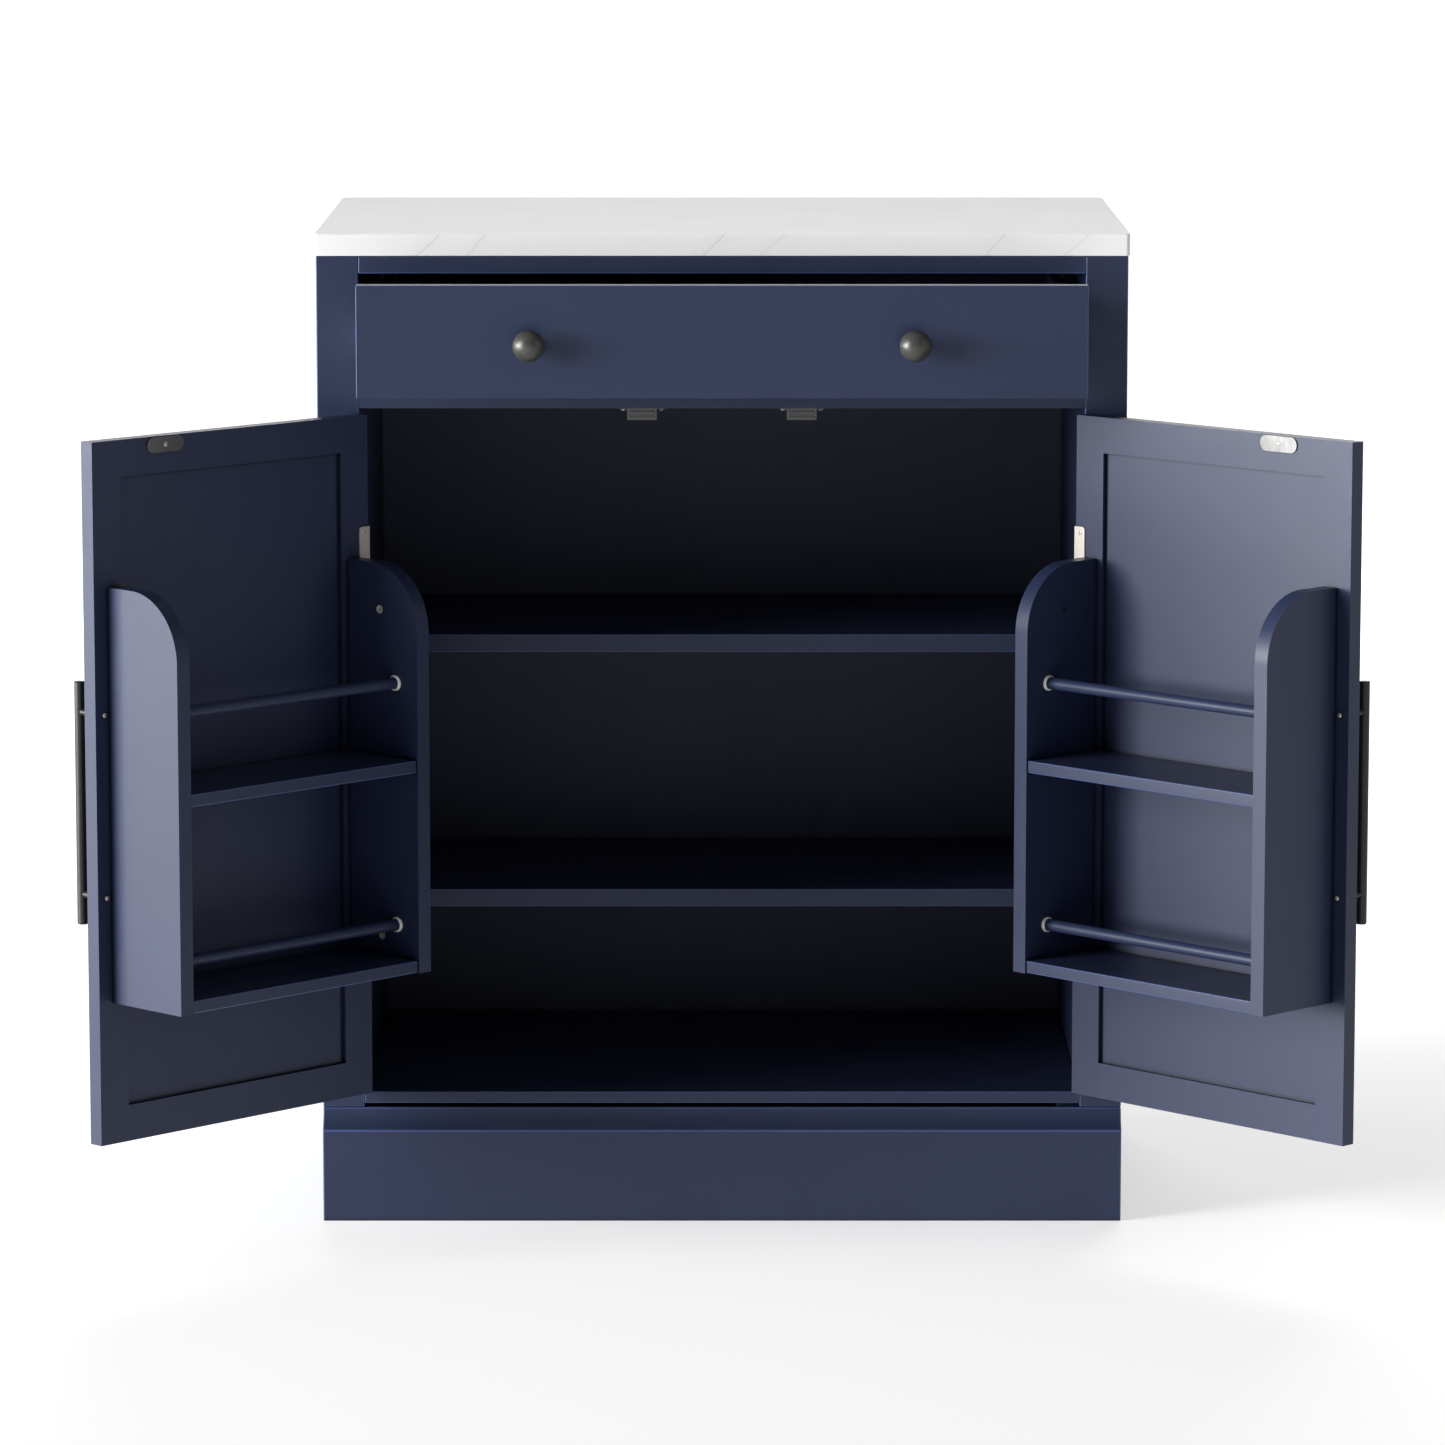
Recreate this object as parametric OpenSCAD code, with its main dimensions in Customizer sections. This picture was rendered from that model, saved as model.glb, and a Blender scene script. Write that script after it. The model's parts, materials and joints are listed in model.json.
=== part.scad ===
// Kitchen island cabinet: a stone slab on a painted case with a full-width drawer,
// two inset doors that carry storage racks on their inner faces, and two loose shelves.
// Origin: floor level, middle of the width, front plane of the face frame.
// +X right, +Y from the front to the back, +Z up. Millimetres.

/* [Case] */
// Width of the case across its side panels
case_w = 758; // [720:1:800]
// Depth of the case from the face frame to the back panel
case_d = 474; // [460:1:520]
// Height from the floor to the underside of the worktop
case_h = 917.5; // [890:0.5:940]
// Width of the two upright stiles of the face frame
stile_w = 39.5; // [36:0.5:45]
// Thickness of stiles, rails and shelves
board_t = 17; // [16:0.5:18]
// Thickness of the outer side panels
side_t = 15; // [12:0.5:16]
// Thickness of the inner linings that carry the shelves and runners
lining_t = 12; // [10:0.5:12]
// Thickness of the bottom panel
bottom_t = 11; // [10:1:14]
// Distance from the face frame to the inner back panel
inner_d = 402; // [395:1:410]

/* [Worktop] */
// Thickness of the slab
worktop_t = 20.5; // [18:0.5:30]
// How far the slab stands out past the case on every side
worktop_lip = 1.5; // [0:0.5:4]
// Radius of the slab's upright corners
worktop_corner_r = 4; // [2:0.5:8]

/* [Plinth] */
// Height of the plinth
plinth_h = 108; // [95:1:120]
// How far the plinth stands in front of the face frame
plinth_step = 12; // [10:1:14]
// Radius of the cove along the top of the plinth
cove_r = 26; // [22:1:30]

/* [Drawer] */
// Height of the drawer front
drawer_front_h = 104; // [100:1:110]
// How far the drawer stands open
drawer_out = 100; // [0:1:240]
// Outer depth of the drawer box behind its front
drawer_box_d = 360; // [340:1:364]
// Height of the drawer box sides
drawer_side_h = 78; // [70:1:80]

/* [Doors] */
// Angle at which both doors stand open
door_open = 134.4; // [0:0.1:150]
// Thickness of the doors and of the drawer front
door_t = 15; // [14:0.5:16]
// Width of the door stiles and rails
door_frame_w = 33.5; // [32:0.5:38]
// Length of each hinge
hinge_l = 63; // [55:1:70]

/* [Door racks] */
// Depth of the rack sides, measured from the door
rack_d = 94.5; // [84:0.5:95]
// Height of the rack sides
rack_h = 381.5; // [360:0.5:390]
// Radius of the round upper corner of the rack sides
rack_corner_r = 62; // [40:1:70]
// Diameter of the rack's retaining rails
rack_rail_dia = 11; // [8:0.5:12]

/* [Hardware] */
// Diameter of the drawer knobs
knob_dia = 29.5; // [28:0.5:34]
// Distance from the middle of the drawer to each knob
knob_x = 177.5; // [150:0.5:220]
// Length of the door handles
handle_l = 224; // [206:1:240]
// Distance between the two posts of a handle
handle_post_gap = 168; // [128:1:180]
// Diameter of the handle bar
handle_dia = 10; // [8:0.5:11]

/* [Hidden] */

// Colours
NAVY = [0.16, 0.19, 0.31];
NAVY_INSIDE = [0.12, 0.14, 0.24];
STONE = [0.92, 0.92, 0.91];
GUNMETAL = [0.22, 0.22, 0.22];
BLACK = [0.12, 0.12, 0.12];
NICKEL = [0.75, 0.74, 0.71];
ZINC = [0.62, 0.63, 0.65];
PLASTIC = [0.27, 0.28, 0.29];

// Radial clearance of pins and screws in their holes, and the reach of a cut past a face
fit_gap = 0.05;
past = 1;
$fn = 64;

// Case: half widths and the heights of the openings
half_w = case_w / 2;
open_x = half_w - stile_w;
side_in_x = half_w - side_t;
top_rail_h = 16.5;
shadow_gap = 4;
floor_z = plinth_h + shadow_gap + bottom_t;
drawer_gap = 2.5;
drawer_top_z = case_h - top_rail_h - drawer_gap;
drawer_base_z = drawer_top_z - drawer_front_h;
rail_top_z = drawer_base_z - drawer_gap;
rail_base_z = rail_top_z - board_t;
drawer_rail_d = 70;
inner_back_t = 6;
back_t = 12;
batten_h = 32;
bearer_w = 20;
bearer_h = 20;
lining_drop = 20;

// Plinth: the front board reaches back under the stiles
plinth_front_t = plinth_step + 6;
cove_set_back = 1;

// Shelves: set back far enough to clear the racks of closed doors
shelf_front_y = door_t + rack_d + 3.5;
shelf_end_gap = 0.3;
upper_shelf_z = 528.9;
lower_shelf_z = 281.4;
shelf_pin_r = 2.5;
shelf_pin_in = 8;
shelf_pin_out = 9;
shelf_pin_y = [150, 365];
pin_drop = 0.05;

// Drawer box and its runners
drawer_side_gap = 2.9;
drawer_half_w = open_x - drawer_side_gap;
runner_w = 13.5;
drawer_box_x = open_x - runner_w;
drawer_side_t = 12;
drawer_box_z = drawer_base_z + 10;
drawer_floor_t = 5;
drawer_floor_up = 6;
drawer_groove = 6;
runner_sheet = 1.2;
runner_h = 36;
runner_z = drawer_box_z + drawer_side_h / 2;
runner_l = 350;
runner_y = 20;
runner_clear = 0.4;
runner_flange = 9;
runner_screw_y = [60, 330];
knob_z = drawer_base_z + 49.3;
knob_h = 27;
knob_dome_h = 12;
knob_screw_r = 2;
knob_screw_depth = 12;
knob_screw_head_t = 2.4;

// Doors: local frame has its origin at the outer corner of the hinge edge,
// x across the door to its free edge, y from the outer to the inner face
hinge_gap = 2.75;
meeting_gap = 2.5;
door_w = open_x - hinge_gap - meeting_gap / 2;
door_base_z = floor_z + 1.5;
door_top_z = rail_base_z - 5;
door_h = door_top_z - door_base_z;
door_in_w = door_w - 2 * door_frame_w;
panel_t = 5.5;
panel_y = 5;
panel_groove = 6;

// Hinges: the pin stands just inside the front corner of the stile
pin_y = 0.6;
pin_inset = 0.2;
pin_r = 1.2;
barrel_r = 2.2;
knuckles = 5;
knuckle_gap = 0.3;
leaf_t = 1.1;
frame_leaf_t = 1;
leaf_start_y = 3.1;
tab_y = 1.6;
door_leaf_w = 11.5;
leaf_corner_r = 3;
frame_leaf_y = 34;
frame_screw_y = 26;
pin_head_h = 1.2;
upper_hinge_z = 602.4;
lower_hinge_z = 260;
hinge_screw_x = 6;
hinge_screw_end = 5.5;
frame_screw_end = 12;
leaf_screw_r = 1.4;
leaf_screw_head_r = 2.2;
leaf_screw_l = 8;

// Racks on the doors
rack_side_t = 15;
rack_hinge_x = 11.5;
rack_free_x = door_w - 16;
rack_base_z = 255.6;
rack_shelf_t = 11.5;
rack_shelf_set_back = 1.5;
rack_lower_z = rack_base_z + 0.4;
rack_upper_z = 444.8;
rack_tongue = panel_y + panel_t - door_t;
rack_rail_y = door_t + 65;
rack_rail_z = [298.4, 526.5];
rack_rail_in = 7;
ferrule_r = 7.3;
ferrule_t = 2.5;
cam_r = 4;
cam_depth = 11;
cam_y = door_t + 44;
cam_z = [285.4, 593.5];
cam_bolt_r = 3;
cam_bolt_start_y = 4;

// Handles, strikes and catches
handle_x = door_w - 9.5;
handle_z = 437.4;
handle_out = 18;
handle_post_r = 3.3;
handle_chamfer = 0.8;
handle_screw_r = 1.65;
handle_screw_in = 9;
handle_screw_head_r = 2.2;
handle_screw_head_t = 1.6;
handle_screw_z = [handle_z - handle_post_gap / 2, handle_z + handle_post_gap / 2];
catch_x = 75;
catch_w = 28;
catch_ear_w = 42;
catch_ear_t = 3.3;
catch_h = 13;
catch_front_y = 17.5;
catch_d = 20;
catch_plate_w = 22;
catch_plate_t = 1.6;
catch_plate_y = 16.5;
catch_plate_d = 14;
catch_plate_z = [rail_base_z - 11, rail_base_z - 6.4];
catch_screw_x = 17.5;
strike_w = 44;
strike_h = 14.6;
strike_t = 1.2;
strike_x = open_x - hinge_gap - catch_x - 13;
strike_z = door_top_z - 8;

// ---------- shared shapes ----------

// A box from one corner to the opposite one
module box(low, high) {
    translate(low) cube([high[0] - low[0], high[1] - low[1], high[2] - low[2]]);
}

// The same shape on the left as drawn and on the right as a mirror image
module both_sides() {
    children();
    mirror([1, 0, 0]) children();
}

// A rod along +X, +Y or +Z from a starting point
module rod_x(start, length, r) {
    translate(start) rotate([0, 90, 0]) cylinder(h = length, r = r);
}

module rod_y(start, length, r) {
    translate(start) rotate([-90, 0, 0]) cylinder(h = length, r = r);
}

module rod_z(start, length, r) {
    translate(start) cylinder(h = length, r = r);
}

// Puts a shape drawn in the left door's local frame where the open left door is
module on_left_door() {
    translate([-open_x - pin_inset, pin_y, 0])
        rotate([0, 0, -door_open])
            translate([hinge_gap + pin_inset, -pin_y, 0])
                children();
}

module on_right_door() {
    mirror([1, 0, 0]) on_left_door() children();
}

module on_drawer() {
    translate([0, -drawer_out, 0]) children();
}

// ---------- worktop and face frame ----------

module worktop() {
    r = worktop_corner_r;
    w = case_w + 2 * worktop_lip;
    d = case_d + 2 * worktop_lip;
    color(STONE)
        translate([-w / 2, -worktop_lip, case_h])
            linear_extrude(worktop_t)
                union() {
                    translate([r, 0]) square([w - 2 * r, d]);
                    translate([0, r]) square([w, d - 2 * r]);
                    for (x = [r, w - r], y = [r, d - r])
                        translate([x, y]) circle(r);
                }
}

// Left stile, notched at the front corner where the hinge barrels sit
module stile() {
    notch = barrel_r + knuckle_gap;
    difference() {
        box([-half_w, 0, plinth_h], [-open_x, board_t, case_h]);
        for (z = [upper_hinge_z, lower_hinge_z])
            box([-open_x - pin_inset - notch, -past, z - pin_head_h - knuckle_gap],
                [-open_x + past, pin_y + notch, z + hinge_l + pin_head_h + knuckle_gap]);
    }
}

module left_stile() {
    color(NAVY) stile();
}

module right_stile() {
    color(NAVY) mirror([1, 0, 0]) stile();
}

module top_rail() {
    color(NAVY) box([-open_x, 0, case_h - top_rail_h], [open_x, board_t, case_h]);
}

module drawer_rail() {
    color(NAVY)
        difference() {
            box([-open_x, 0, rail_base_z], [open_x, drawer_rail_d, rail_top_z]);
            catch_screw_places()
                rod_z([0, 0, rail_base_z - past], leaf_screw_l + past, leaf_screw_r + fit_gap);
        }
}

// ---------- case ----------

module side_panel() {
    box([-half_w, board_t, plinth_h], [-side_in_x, case_d, case_h]);
}

module left_side_panel() {
    color(NAVY) side_panel();
}

module right_side_panel() {
    color(NAVY) mirror([1, 0, 0]) side_panel();
}

// Left lining, bored for shelf pins, hinge screws and runner screws
module side_lining() {
    difference() {
        box([-open_x - lining_t, board_t, plinth_h - lining_drop],
            [-open_x, inner_d + inner_back_t, case_h]);
        for (y = shelf_pin_y, z = [upper_shelf_z, lower_shelf_z])
            rod_x([-open_x - shelf_pin_in, y, z - shelf_pin_r - pin_drop],
                  shelf_pin_in + past, shelf_pin_r + fit_gap);
        frame_leaf_screw_places()
            rod_x([-leaf_screw_l, 0, 0], leaf_screw_l + past, leaf_screw_r + fit_gap);
        for (y = runner_screw_y)
            rod_x([-open_x - leaf_screw_l, y, runner_z], leaf_screw_l + past, leaf_screw_r + fit_gap);
    }
}

module left_side_lining() {
    color(NAVY_INSIDE) side_lining();
}

module right_side_lining() {
    color(NAVY_INSIDE) mirror([1, 0, 0]) side_lining();
}

// Spacers between lining and side panel, bearers under the bottom panel,
// and the two flat rails that tie the inner back to the outer back
module case_battens() {
    color(NAVY_INSIDE) {
        both_sides() {
            for (z = [plinth_h, case_h - batten_h])
                box([-side_in_x, board_t, z], [-open_x - lining_t, inner_d, z + batten_h]);
            box([-open_x, board_t, floor_z - bottom_t - bearer_h],
                [-open_x + bearer_w, inner_d, floor_z - bottom_t]);
        }
        for (z = [plinth_h, case_h - top_rail_h])
            box([-side_in_x, inner_d + inner_back_t, z],
                [side_in_x, case_d - back_t, z + top_rail_h]);
    }
}

module bottom_panel() {
    color(NAVY_INSIDE) box([-open_x, 0, floor_z - bottom_t], [open_x, inner_d, floor_z]);
}

module inner_back_panel() {
    color(NAVY_INSIDE)
        box([-open_x, inner_d, floor_z - bottom_t], [open_x, inner_d + inner_back_t, case_h]);
}

module back_panel() {
    color(NAVY) box([-side_in_x, case_d - back_t, plinth_h], [side_in_x, case_d, case_h]);
}

// Front board of the plinth with a cove along its upper edge
module plinth_front() {
    color(NAVY)
        difference() {
            box([-half_w, -plinth_step, 0], [half_w, plinth_front_t - plinth_step, plinth_h]);
            rod_x([-half_w - past, -cove_set_back - cove_r, plinth_h + cove_set_back],
                  case_w + 2 * past, cove_r);
        }
}

module plinth_sides() {
    color(NAVY)
        both_sides()
            box([-half_w, plinth_front_t - plinth_step, 0], [-side_in_x, case_d, plinth_h]);
}

module plinth_back() {
    color(NAVY) box([-side_in_x, case_d - side_t, 0], [side_in_x, case_d, plinth_h]);
}

// ---------- loose shelves ----------

module shelf(z) {
    w = open_x - shelf_end_gap;
    box([-w, shelf_front_y, z], [w, inner_d - shelf_end_gap, z + board_t]);
}

module upper_shelf() {
    color(NAVY_INSIDE) shelf(upper_shelf_z);
}

module lower_shelf() {
    color(NAVY_INSIDE) shelf(lower_shelf_z);
}

module shelf_pins() {
    color(NICKEL)
        both_sides()
            for (y = shelf_pin_y, z = [upper_shelf_z, lower_shelf_z])
                rod_x([-open_x - shelf_pin_in, y, z - shelf_pin_r - pin_drop],
                      shelf_pin_in + shelf_pin_out, shelf_pin_r);
}

// ---------- runners, catches and the fixed half of the hinges ----------

// A channel of folded sheet, its back against x = 0 and its mouth towards +X
module channel(y, length, height, depth) {
    translate([0, y, runner_z - height / 2])
        difference() {
            cube([depth, length, height]);
            translate([runner_sheet, -past, runner_sheet])
                cube([depth, length + 2 * past, height - 2 * runner_sheet]);
        }
}

module runner_channels() {
    color(ZINC)
        both_sides()
            difference() {
                translate([-open_x, 0, 0]) channel(runner_y, runner_l + 10, runner_h, runner_flange);
                for (y = runner_screw_y)
                    rod_x([-open_x - past, y, runner_z], 3, leaf_screw_r + fit_gap);
            }
}

// The drawer's half: a narrower channel that runs inside the fixed one
module runner_slides() {
    slide_h = runner_h - 2 * runner_sheet - 2 * runner_clear;
    color(ZINC)
        on_drawer()
            both_sides()
                translate([-drawer_box_x, 0, 0])
                    mirror([1, 0, 0])
                        channel(runner_y, runner_l, slide_h, runner_flange);
}

module catch_screw_places() {
    for (side = [-1, 1], ear = [-1, 1])
        translate([side * catch_x + ear * catch_screw_x, catch_front_y + catch_d / 2, 0])
            children();
}

// Housings of the two magnetic catches, screwed up under the drawer rail
module catch_bodies() {
    top = rail_base_z;
    ear_y = catch_front_y + 3;
    color(PLASTIC)
        difference() {
            for (x = [-catch_x, catch_x])
                translate([x, 0, 0]) {
                    box([-catch_w / 2, catch_front_y, top - catch_h],
                        [catch_w / 2, catch_front_y + catch_d, top]);
                    box([-catch_ear_w / 2, ear_y, top - catch_ear_t],
                        [catch_ear_w / 2, ear_y + 14, top]);
                }
            for (x = [-catch_x, catch_x], z = catch_plate_z)
                translate([x, 0, z])
                    box([-catch_plate_w / 2 - fit_gap, 0, -fit_gap],
                        [catch_plate_w / 2 + fit_gap, catch_plate_y + catch_plate_d + fit_gap,
                         catch_plate_t + fit_gap]);
            catch_screw_places()
                rod_z([0, 0, top - catch_ear_t - past], catch_ear_t + 2 * past,
                      leaf_screw_r + fit_gap);
        }
}

// Steel pole plates of the catches, two in each
module catch_plates() {
    color(ZINC)
        for (x = [-catch_x, catch_x], z = catch_plate_z)
            translate([x, 0, z])
                box([-catch_plate_w / 2, catch_plate_y, 0],
                    [catch_plate_w / 2, catch_plate_y + catch_plate_d, catch_plate_t]);
}

// Left-hand screw places of the fixed hinge leaves, on the lining's face
module frame_leaf_screw_places() {
    for (z = [upper_hinge_z, lower_hinge_z], end = [frame_screw_end, hinge_l - frame_screw_end])
        translate([-open_x, frame_screw_y, z + end])
            children();
}

// Height and place of one knuckle, counted from the bottom of the hinge
function knuckle_h() = hinge_l / knuckles - knuckle_gap;
function knuckle_z(i) = i * hinge_l / knuckles + knuckle_gap / 2;

// Barrels round the pin axis with the tabs that join them to a leaf of thickness t at x
module barrels(first, x_leaf, t) {
    for (i = [first : 2 : knuckles - 1])
        translate([0, 0, knuckle_z(i)]) {
            cylinder(h = knuckle_h(), r = barrel_r);
            box([0, tab_y - pin_y, 0], [x_leaf + t, barrel_r, knuckle_h()]);
            box([x_leaf, tab_y - pin_y, 0], [x_leaf + t, leaf_start_y - pin_y, knuckle_h()]);
        }
}

// Fixed leaf, drawn round the pin axis: flat on the stile's edge and the lining
module frame_leaf() {
    x = pin_inset;
    difference() {
        union() {
            box([x, leaf_start_y - pin_y, 0], [x + frame_leaf_t, frame_leaf_y - pin_y, hinge_l]);
            barrels(0, x, frame_leaf_t);
        }
        rod_z([0, 0, -past], hinge_l + 2 * past, pin_r + fit_gap);
        for (z = [frame_screw_end, hinge_l - frame_screw_end])
            rod_x([0, frame_screw_y - pin_y, z], 3, leaf_screw_head_r + fit_gap);
    }
}

// Upright plate from x0 to x1 with its back at y = 0 and its two corners at x1 rounded
module rounded_flange(x0, x1, height, r, t) {
    translate([0, t, 0])
        rotate([90, 0, 0])
            linear_extrude(t)
                union() {
                    translate([x0, 0]) square([x1 - x0 - r, height]);
                    translate([x0, r]) square([x1 - x0, height - 2 * r]);
                    for (z = [r, height - r])
                        translate([x1 - r, z]) circle(r);
                }
}

// Moving leaf, drawn round the pin axis: along the door's edge and onto its inner face
module door_leaf() {
    edge = hinge_gap + pin_inset;
    inner_face = door_t - pin_y;
    difference() {
        union() {
            box([edge - leaf_t, leaf_start_y - pin_y, 0], [edge, inner_face + leaf_t, hinge_l]);
            translate([0, inner_face, 0])
                rounded_flange(edge - leaf_t, edge + door_leaf_w, hinge_l, leaf_corner_r, leaf_t);
            barrels(1, edge - leaf_t, leaf_t);
        }
        rod_z([0, 0, -past], hinge_l + 2 * past, pin_r + fit_gap);
        for (z = [hinge_screw_end, hinge_l - hinge_screw_end])
            rod_y([edge + hinge_screw_x, inner_face - past, z], 3, leaf_screw_head_r + fit_gap);
    }
}

module hinge_frame_leaves() {
    color(NICKEL)
        both_sides()
            for (z = [upper_hinge_z, lower_hinge_z])
                translate([-open_x - pin_inset, pin_y, z]) frame_leaf();
}

// Pins with a flat head on each end
module hinge_pins() {
    color(NICKEL)
        both_sides()
            for (z = [upper_hinge_z, lower_hinge_z])
                translate([-open_x - pin_inset, pin_y, z]) {
                    rod_z([0, 0, -pin_head_h], hinge_l + 2 * pin_head_h, pin_r);
                    rod_z([0, 0, -pin_head_h], pin_head_h, barrel_r);
                    rod_z([0, 0, hinge_l], pin_head_h, barrel_r);
                }
}

// A screw pointing along -X: a head of thickness head_t that ends at x = 0
module screw_x(head_t, head_r, length) {
    rod_x([-head_t, 0, 0], head_t, head_r);
    rod_x([-length, 0, 0], length, leaf_screw_r);
}

// Screws of the fixed hinge leaves, the runner channels and the catches
module case_screws() {
    color(NICKEL) {
        both_sides() {
            frame_leaf_screw_places()
                translate([frame_leaf_t, 0, 0])
                    screw_x(frame_leaf_t, leaf_screw_head_r, frame_leaf_t + leaf_screw_l);
            for (y = runner_screw_y)
                translate([-open_x + runner_sheet + 1, y, runner_z])
                    screw_x(1, leaf_screw_head_r, runner_sheet + 1 + leaf_screw_l);
        }
        catch_screw_places() {
            rod_z([0, 0, rail_base_z - catch_ear_t - 1], 1, leaf_screw_head_r);
            rod_z([0, 0, rail_base_z - catch_ear_t], catch_ear_t + leaf_screw_l, leaf_screw_r);
        }
    }
}

// ---------- drawer ----------

module drawer_front() {
    color(NAVY)
        on_drawer()
            difference() {
                box([-drawer_half_w, 0, drawer_base_z], [drawer_half_w, door_t, drawer_top_z]);
                for (x = [-knob_x, knob_x])
                    rod_y([x, -past, knob_z], door_t + 2 * past, knob_screw_r + fit_gap);
            }
}

module drawer_side() {
    floor_z0 = drawer_box_z + drawer_floor_up;
    difference() {
        box([-drawer_box_x, door_t, drawer_box_z],
            [-drawer_box_x + drawer_side_t, door_t + drawer_box_d, drawer_box_z + drawer_side_h]);
        box([-drawer_box_x + drawer_side_t - drawer_groove, 0, floor_z0],
            [0, door_t + drawer_box_d + past, floor_z0 + drawer_floor_t]);
    }
}

module drawer_left_side() {
    color(NAVY_INSIDE) on_drawer() drawer_side();
}

module drawer_right_side() {
    color(NAVY_INSIDE) on_drawer() mirror([1, 0, 0]) drawer_side();
}

module drawer_back() {
    x = drawer_box_x - drawer_side_t;
    y = door_t + drawer_box_d;
    color(NAVY_INSIDE)
        on_drawer()
            box([-x, y - drawer_side_t, drawer_box_z + drawer_floor_up + drawer_floor_t],
                [x, y, drawer_box_z + drawer_side_h]);
}

module drawer_bottom() {
    x = drawer_box_x - drawer_side_t + drawer_groove;
    z = drawer_box_z + drawer_floor_up;
    color(NAVY_INSIDE)
        on_drawer()
            box([-x, door_t, z], [x, door_t + drawer_box_d, z + drawer_floor_t]);
}

// Turned knob: foot, waist and a domed head
module knob() {
    rim_r = knob_dia / 2;
    rim_z = knob_h - knob_dome_h;
    dome_r = (rim_r ^ 2 + knob_dome_h ^ 2) / (2 * knob_dome_h);
    dome_z = knob_h - dome_r;
    rim_angle = asin((rim_z - dome_z) / dome_r);
    profile = concat(
        [[0, 0], [7.5, 0], [7.5, 1.5], [5.4, 3.2], [5, 7], [6, 9.5], [9, 12], [rim_r - 1.6, rim_z - 1.4]],
        [for (t = [rim_angle : (90 - rim_angle) / 14 : 89.9]) [dome_r * cos(t), dome_z + dome_r * sin(t)]],
        [[0, knob_h]]
    );
    rotate([90, 0, 0])
        difference() {
            rotate_extrude() polygon(profile);
            translate([0, 0, -past]) cylinder(h = knob_screw_depth + past, r = knob_screw_r + fit_gap);
        }
}

module drawer_knobs() {
    color(GUNMETAL)
        on_drawer()
            for (x = [-knob_x, knob_x])
                translate([x, 0, knob_z]) knob();
}

// Screws through the drawer front into the knobs, heads inside the drawer
module knob_screws() {
    color(NICKEL)
        on_drawer()
            for (x = [-knob_x, knob_x]) {
                rod_y([x, 1 - knob_screw_depth, knob_z], knob_screw_depth - 1 + door_t, knob_screw_r);
                rod_y([x, door_t, knob_z], knob_screw_head_t, knob_screw_r * 2);
            }
}

// ---------- doors ----------

// Screw places on the door's inner face
module door_hinge_screw_places() {
    for (z = [upper_hinge_z, lower_hinge_z], end = [hinge_screw_end, hinge_l - hinge_screw_end])
        translate([hinge_screw_x, door_t, z + end])
            children();
}

// Space of the panel inside the grooves of stiles and rails
module door_panel_shape() {
    reach = panel_groove;
    box([door_frame_w - reach, panel_y, door_base_z + door_frame_w - reach],
        [door_w - door_frame_w + reach, panel_y + panel_t, door_top_z - door_frame_w + reach]);
}

module door_stiles() {
    difference() {
        for (x = [0, door_w - door_frame_w])
            box([x, 0, door_base_z], [x + door_frame_w, door_t, door_top_z]);
        door_panel_shape();
        door_hinge_screw_places()
            rod_y([0, -leaf_screw_l, 0], leaf_screw_l + past, leaf_screw_r + fit_gap);
        for (z = handle_screw_z)
            rod_y([handle_x, -past, z], door_t + 2 * past, handle_screw_r + fit_gap);
        rack_bolt_places()
            rod_y([0, cam_bolt_start_y, 0], door_t, cam_bolt_r + fit_gap);
    }
}

module door_rails() {
    difference() {
        for (z = [door_base_z, door_top_z - door_frame_w])
            box([door_frame_w, 0, z], [door_w - door_frame_w, door_t, z + door_frame_w]);
        door_panel_shape();
        rod_y([strike_x, door_t - leaf_screw_l, strike_z], leaf_screw_l + past, leaf_screw_r + fit_gap);
    }
}

module door_leaves() {
    for (z = [upper_hinge_z, lower_hinge_z])
        translate([-hinge_gap - pin_inset, pin_y, z]) door_leaf();
}

// Oblong steel plate that the catch holds, with a sunk screw hole
module strike_plate() {
    r = strike_h / 2;
    translate([strike_x, door_t + strike_t, strike_z])
        rotate([90, 0, 0])
            linear_extrude(strike_t)
                difference() {
                    union() {
                        square([strike_w - strike_h, strike_h], center = true);
                        for (side = [-1, 1])
                            translate([side * (strike_w / 2 - r), 0]) circle(r);
                    }
                    circle(leaf_screw_head_r + fit_gap);
                }
}

// Bar handle with two posts, bored for its screws
module handle() {
    r = handle_dia / 2;
    c = handle_chamfer;
    difference() {
        union() {
            translate([handle_x, -handle_out, handle_z - handle_l / 2])
                rotate_extrude()
                    polygon([[0, 0], [r - c, 0], [r, c], [r, handle_l - c], [r - c, handle_l],
                             [0, handle_l]]);
            for (z = handle_screw_z)
                rod_y([handle_x, -handle_out, z], handle_out, handle_post_r);
        }
        for (z = handle_screw_z)
            rod_y([handle_x, -handle_screw_in - fit_gap, z], handle_screw_in + past,
                  handle_screw_r + fit_gap);
    }
}

// Screws of one door: hinge leaves and strike sunk flush, handle screws with pan heads
module door_screws() {
    door_hinge_screw_places() {
        rod_y([0, 0, 0], leaf_t, leaf_screw_head_r);
        rod_y([0, -leaf_screw_l, 0], leaf_screw_l, leaf_screw_r);
    }
    translate([strike_x, door_t, strike_z]) {
        rod_y([0, 0, 0], strike_t, leaf_screw_head_r);
        rod_y([0, -leaf_screw_l, 0], leaf_screw_l, leaf_screw_r);
    }
    for (z = handle_screw_z) {
        rod_y([handle_x, door_t, z], handle_screw_head_t, handle_screw_head_r);
        rod_y([handle_x, -handle_screw_in, z], handle_screw_in + door_t, handle_screw_r);
    }
}

// ---------- racks on the doors ----------

// Middle of the thickness of each rack side, at the height of each cam
module rack_bolt_places() {
    for (x = [rack_hinge_x + rack_side_t / 2, rack_free_x - rack_side_t / 2], z = cam_z)
        translate([x, 0, z])
            children();
}

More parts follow.
